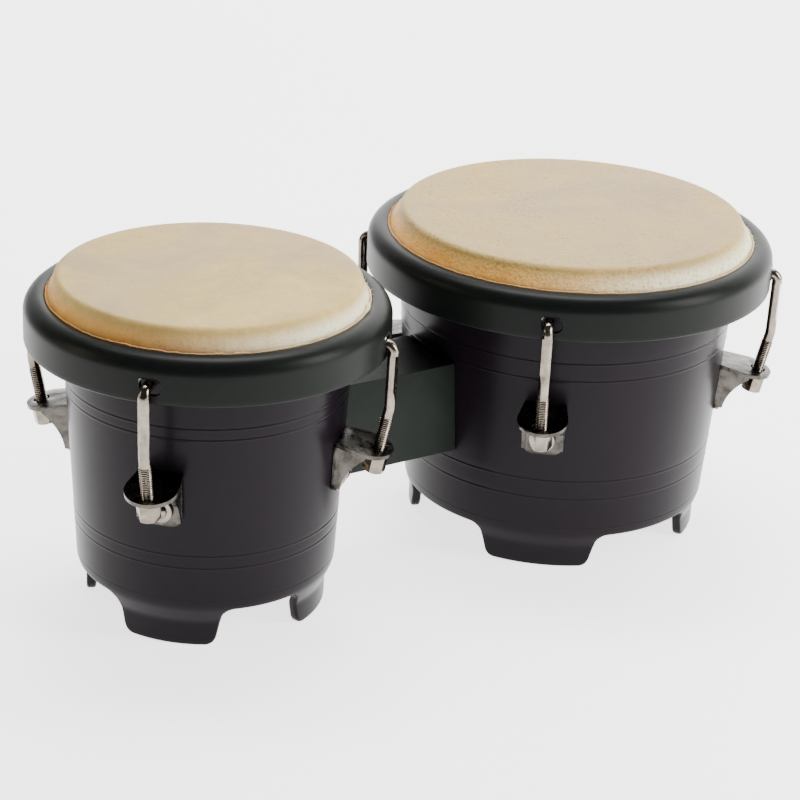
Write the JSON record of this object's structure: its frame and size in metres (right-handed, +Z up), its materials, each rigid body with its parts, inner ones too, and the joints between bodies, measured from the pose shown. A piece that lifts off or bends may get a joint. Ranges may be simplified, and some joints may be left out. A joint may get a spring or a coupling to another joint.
{
  "type": "bongo drums",
  "caption": "Joined pair of tapered hand drums with rawhide heads, rounded steel hoops, hooked tension rods with tuning nuts, stamped lugs and a centre block.",
  "frame": {"origin": "under the middle of the pair, on the plane that the feet stand on", "axes": "+X from the small drum to the large drum, +Z up along the drum axes, -Y towards the player"},
  "size_m": [0.4044, 0.2102, 0.168],
  "materials": {
    "shell": "glossy black moulded plastic with a purple tint",
    "hoop": "black powder coat, semi-gloss",
    "block": "satin black",
    "skin": "natural cream rawhide, amber at the collar",
    "hardware": "bright nickel plate",
    "ring_steel": "plain steel wire"
  },
  "bodies": {
    "shells_and_block": {"centre_block": "block", "large_backing_plate": "hardware", "large_block_bolt_lower": "hardware", "large_block_bolt_upper": "hardware", "large_lug_1": "hardware", "large_lug_2": "hardware", "large_lug_3": "hardware", "large_lug_4": "hardware", "large_lug_screw_1": "hardware", "large_lug_screw_2": "hardware", "large_lug_screw_3": "hardware", "large_lug_screw_4": "hardware", "large_lug_screw_nut_1": "hardware", "large_lug_screw_nut_2": "hardware", "large_lug_screw_nut_3": "hardware", "large_lug_screw_nut_4": "hardware", "large_shell": "shell", "small_backing_plate": "hardware", "small_block_bolt_lower": "hardware", "small_block_bolt_upper": "hardware", "small_lug_1": "hardware", "small_lug_2": "hardware", "small_lug_3": "hardware", "small_lug_4": "hardware", "small_lug_screw_1": "hardware", "small_lug_screw_2": "hardware", "small_lug_screw_3": "hardware", "small_lug_screw_4": "hardware", "small_lug_screw_nut_1": "hardware", "small_lug_screw_nut_2": "hardware", "small_lug_screw_nut_3": "hardware", "small_lug_screw_nut_4": "hardware", "small_shell": "shell"},
    "small_tuned_head": {"small_head": "skin", "small_flesh_ring": "ring_steel", "small_hoop": "hoop"},
    "small_rod_1": {"small_tension_rod_1": "hardware"},
    "small_nut_1": {"small_tuning_nut_1": "hardware"},
    "small_rod_2": {"small_tension_rod_2": "hardware"},
    "small_nut_2": {"small_tuning_nut_2": "hardware"},
    "small_rod_3": {"small_tension_rod_3": "hardware"},
    "small_nut_3": {"small_tuning_nut_3": "hardware"},
    "small_rod_4": {"small_tension_rod_4": "hardware"},
    "small_nut_4": {"small_tuning_nut_4": "hardware"},
    "large_tuned_head": {"large_head": "skin", "large_flesh_ring": "ring_steel", "large_hoop": "hoop"},
    "large_rod_1": {"large_tension_rod_1": "hardware"},
    "large_nut_1": {"large_tuning_nut_1": "hardware"},
    "large_rod_2": {"large_tension_rod_2": "hardware"},
    "large_nut_2": {"large_tuning_nut_2": "hardware"},
    "large_rod_3": {"large_tension_rod_3": "hardware"},
    "large_nut_3": {"large_tuning_nut_3": "hardware"},
    "large_rod_4": {"large_tension_rod_4": "hardware"},
    "large_nut_4": {"large_tuning_nut_4": "hardware"}
  },
  "joints": [
    {"name": "small_head_lift", "type": "slide", "parent": "shells_and_block", "child": "small_tuned_head", "axis": [0, 0, 1], "range_m": [0, 0.00294]},
    {"name": "small_rod_1_slide", "type": "slide", "parent": "shells_and_block", "child": "small_rod_1", "axis": [0.1446, 0.1372, 0.9799], "range_m": [0, 0.00301]},
    {"name": "small_nut_1_turn", "type": "hinge", "parent": "shells_and_block", "child": "small_nut_1", "pos_m": [-0.05291, 0.05892, 0.0893], "axis": [0.1446, 0.1372, 0.9799], "range_deg": [-1081, 0]},
    {"name": "small_rod_2_slide", "type": "slide", "parent": "shells_and_block", "child": "small_rod_2", "axis": [-0.1372, 0.1446, 0.9799], "range_m": [0, 0.00301]},
    {"name": "small_nut_2_turn", "type": "hinge", "parent": "shells_and_block", "child": "small_nut_2", "pos_m": [-0.17392, 0.06209, 0.0893], "axis": [-0.1372, 0.1446, 0.9799], "range_deg": [-1081, 0]},
    {"name": "small_rod_3_slide", "type": "slide", "parent": "shells_and_block", "child": "small_rod_3", "axis": [-0.1446, -0.1372, 0.9799], "range_m": [0, 0.00301]},
    {"name": "small_nut_3_turn", "type": "hinge", "parent": "shells_and_block", "child": "small_nut_3", "pos_m": [-0.17709, -0.05892, 0.0893], "axis": [-0.1446, -0.1372, 0.9799], "range_deg": [-1081, 0]},
    {"name": "small_rod_4_slide", "type": "slide", "parent": "shells_and_block", "child": "small_rod_4", "axis": [0.1372, -0.1446, 0.9799], "range_m": [0, 0.00301]},
    {"name": "small_nut_4_turn", "type": "hinge", "parent": "shells_and_block", "child": "small_nut_4", "pos_m": [-0.05608, -0.06209, 0.0893], "axis": [0.1372, -0.1446, 0.9799], "range_deg": [-1081, 0]},
    {"name": "large_head_lift", "type": "slide", "parent": "shells_and_block", "child": "large_tuned_head", "axis": [0, 0, 1], "range_m": [0, 0.00294]},
    {"name": "large_rod_1_slide", "type": "slide", "parent": "shells_and_block", "child": "large_rod_1", "axis": [0.1321, 0.1493, 0.9799], "range_m": [0, 0.00301]},
    {"name": "large_nut_1_turn", "type": "hinge", "parent": "shells_and_block", "child": "large_nut_1", "pos_m": [0.16565, 0.07759, 0.0893], "axis": [0.1321, 0.1493, 0.9799], "range_deg": [-1081, 0]},
    {"name": "large_rod_2_slide", "type": "slide", "parent": "shells_and_block", "child": "large_rod_2", "axis": [-0.1493, 0.1321, 0.9799], "range_m": [0, 0.00301]},
    {"name": "large_nut_2_turn", "type": "hinge", "parent": "shells_and_block", "child": "large_nut_2", "pos_m": [0.01941, 0.06865, 0.0893], "axis": [-0.1493, 0.1321, 0.9799], "range_deg": [-1081, 0]},
    {"name": "large_rod_3_slide", "type": "slide", "parent": "shells_and_block", "child": "large_rod_3", "axis": [-0.1321, -0.1493, 0.9799], "range_m": [0, 0.00301]},
    {"name": "large_nut_3_turn", "type": "hinge", "parent": "shells_and_block", "child": "large_nut_3", "pos_m": [0.02835, -0.07759, 0.0893], "axis": [-0.1321, -0.1493, 0.9799], "range_deg": [-1081, 0]},
    {"name": "large_rod_4_slide", "type": "slide", "parent": "shells_and_block", "child": "large_rod_4", "axis": [0.1493, -0.1321, 0.9799], "range_m": [0, 0.00301]},
    {"name": "large_nut_4_turn", "type": "hinge", "parent": "shells_and_block", "child": "large_nut_4", "pos_m": [0.17459, -0.06865, 0.0893], "axis": [0.1493, -0.1321, 0.9799], "range_deg": [-1081, 0]}
  ],
  "couplings": [
    {"joint": "small_rod_1_slide", "follows": "small_head_lift", "ratio": 1.0205},
    {"joint": "small_nut_1_turn", "follows": "small_head_lift", "rad_per_m": -6411.9},
    {"joint": "small_rod_2_slide", "follows": "small_head_lift", "ratio": 1.0205},
    {"joint": "small_nut_2_turn", "follows": "small_head_lift", "rad_per_m": -6411.9},
    {"joint": "small_rod_3_slide", "follows": "small_head_lift", "ratio": 1.0205},
    {"joint": "small_nut_3_turn", "follows": "small_head_lift", "rad_per_m": -6411.9},
    {"joint": "small_rod_4_slide", "follows": "small_head_lift", "ratio": 1.0205},
    {"joint": "small_nut_4_turn", "follows": "small_head_lift", "rad_per_m": -6411.9},
    {"joint": "large_rod_1_slide", "follows": "large_head_lift", "ratio": 1.0205},
    {"joint": "large_nut_1_turn", "follows": "large_head_lift", "rad_per_m": -6411.9},
    {"joint": "large_rod_2_slide", "follows": "large_head_lift", "ratio": 1.0205},
    {"joint": "large_nut_2_turn", "follows": "large_head_lift", "rad_per_m": -6411.9},
    {"joint": "large_rod_3_slide", "follows": "large_head_lift", "ratio": 1.0205},
    {"joint": "large_nut_3_turn", "follows": "large_head_lift", "rad_per_m": -6411.9},
    {"joint": "large_rod_4_slide", "follows": "large_head_lift", "ratio": 1.0205},
    {"joint": "large_nut_4_turn", "follows": "large_head_lift", "rad_per_m": -6411.9}
  ]
}
